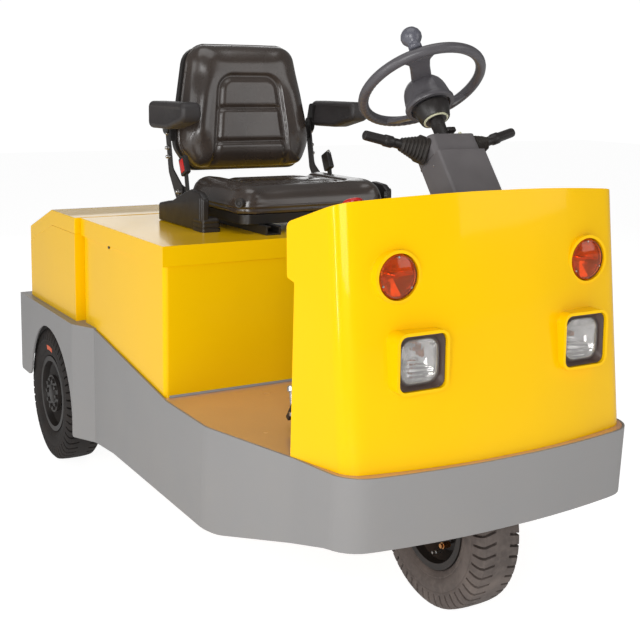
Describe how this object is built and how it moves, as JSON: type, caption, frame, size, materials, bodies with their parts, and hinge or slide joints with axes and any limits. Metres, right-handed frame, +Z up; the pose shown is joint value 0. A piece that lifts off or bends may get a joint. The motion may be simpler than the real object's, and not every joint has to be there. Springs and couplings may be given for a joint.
{
  "type": "airport tow tractor",
  "caption": "Three-wheeled seated electric tow tractor with a steered front wheel, curved cowl, battery box under the seat, rear hood and a pin tow jaw.",
  "frame": {"origin": "on the ground at the middle of the length and width", "axes": "+Z up, nose towards -Y, driver's left is +X"},
  "size_m": [1.05, 1.98, 1.3165],
  "materials": {
    "body_yellow": "gloss",
    "skirt_grey": "semi-gloss",
    "deck_grey": "gloss",
    "frame_black": "satin",
    "panel_grey": "satin",
    "console_grey": "fine grain",
    "black_paint": "satin",
    "black_rubber": "matte",
    "black_plastic": "fine grain",
    "stop_red": "gloss",
    "lamp_frame": "satin",
    "lens_clear": "clear",
    "lens_amber": "gloss",
    "lens_red": "gloss",
    "bright_steel": "zinc",
    "battery_case": "matte",
    "seat_vinyl": "satin vinyl",
    "arm_foam": "moulded foam",
    "rim_black": "satin",
    "tyre_rubber": "matte",
    "wheel_grey": "fine grain"
  },
  "bodies": {
    "chassis": {"chassis_frame": "frame_black", "skirt": "skirt_grey", "fenders": "skirt_grey", "deck": "deck_grey", "rear_plate": "skirt_grey", "battery_box": "body_yellow", "battery": "battery_case", "rear_hood": "body_yellow", "hood_cover": "body_yellow", "cowl": "body_yellow", "cowl_back": "panel_grey", "dash_panel": "panel_grey", "steering_head": "frame_black", "head_cover": "skirt_grey", "console": "console_grey", "steering_column": "black_paint", "lever_boots": "black_rubber", "control_levers": "black_plastic", "stop_button": "stop_red", "headlamps": "lamp_frame", "headlamp_lenses": "lens_clear", "turn_lamps": "lens_amber", "accelerator_pedal": "black_paint", "brake_pedal": "black_paint", "rear_axle": "frame_black", "tow_jaw": "frame_black", "tail_lamps": "lens_red"},
    "tow_pin": {"tow_pin": "bright_steel"},
    "lid": {"battery_lid": "body_yellow", "seat_rails": "black_paint", "seat_side_covers": "black_plastic"},
    "seat": {"seat_pan": "black_paint", "seat_cushion": "seat_vinyl", "belt_buckles": "black_plastic"},
    "backrest": {"backrest_shell": "black_plastic", "backrest_pad": "seat_vinyl"},
    "armrest_right": {"armrest_right": "arm_foam"},
    "armrest_left": {"armrest_left": "arm_foam"},
    "fork": {"steering_fork": "frame_black"},
    "front_wheel": {"front_rim": "rim_black", "front_tyre": "tyre_rubber"},
    "steering_wheel": {"steering_wheel": "wheel_grey", "spinner_knob": "wheel_grey"},
    "rear_wheel_right": {"rear_rim_right": "rim_black", "rear_tyre_right": "tyre_rubber"},
    "rear_wheel_left": {"rear_rim_left": "rim_black", "rear_tyre_left": "tyre_rubber"}
  },
  "joints": [
    {"name": "lid_hinge", "type": "hinge", "parent": "chassis", "child": "lid", "pos_m": [0, 0.39, 0.786], "axis": [-1, 0, 0], "range_deg": [0, 55]},
    {"name": "seat_slide", "type": "slide", "parent": "lid", "child": "seat", "axis": [0, 1, 0], "range_m": [-0.06, 0.06]},
    {"name": "backrest_recline", "type": "hinge", "parent": "seat", "child": "backrest", "pos_m": [0, 0.24, 0.872], "axis": [-1, 0, 0], "range_deg": [-10, 15]},
    {"name": "armrest_right_fold", "type": "hinge", "parent": "backrest", "child": "armrest_right", "pos_m": [0, 0.3301, 1.05961], "axis": [-1, 0, 0], "range_deg": [0, 80]},
    {"name": "armrest_left_fold", "type": "hinge", "parent": "backrest", "child": "armrest_left", "pos_m": [0, 0.3301, 1.05961], "axis": [-1, 0, 0], "range_deg": [0, 80]},
    {"name": "fork_steer", "type": "hinge", "parent": "chassis", "child": "fork", "pos_m": [0, -0.76, 0.45], "axis": [0, 0, 1], "range_deg": [-75, 75]},
    {"name": "front_wheel_roll", "type": "hinge", "parent": "fork", "child": "front_wheel", "pos_m": [0, -0.76, 0.2075], "axis": [1, 0, 0], "continuous": true},
    {"name": "steering_wheel_turn", "type": "hinge", "parent": "chassis", "child": "steering_wheel", "pos_m": [0, -0.626, 1.186], "axis": [0, 0.6018, 0.7986], "range_deg": [-540, 540]},
    {"name": "rear_wheel_right_roll", "type": "hinge", "parent": "chassis", "child": "rear_wheel_right", "pos_m": [-0.454, 0.647, 0.2075], "axis": [1, 0, 0], "continuous": true},
    {"name": "rear_wheel_left_roll", "type": "hinge", "parent": "chassis", "child": "rear_wheel_left", "pos_m": [0.454, 0.647, 0.2075], "axis": [1, 0, 0], "continuous": true},
    {"name": "tow_pin_lift", "type": "slide", "parent": "chassis", "child": "tow_pin", "axis": [0, 0, 1], "range_m": [0, 0.13]}
  ],
  "couplings": [
    {"joint": "steering_wheel_turn", "follows": "fork_steer", "ratio": 7.2}
  ]
}
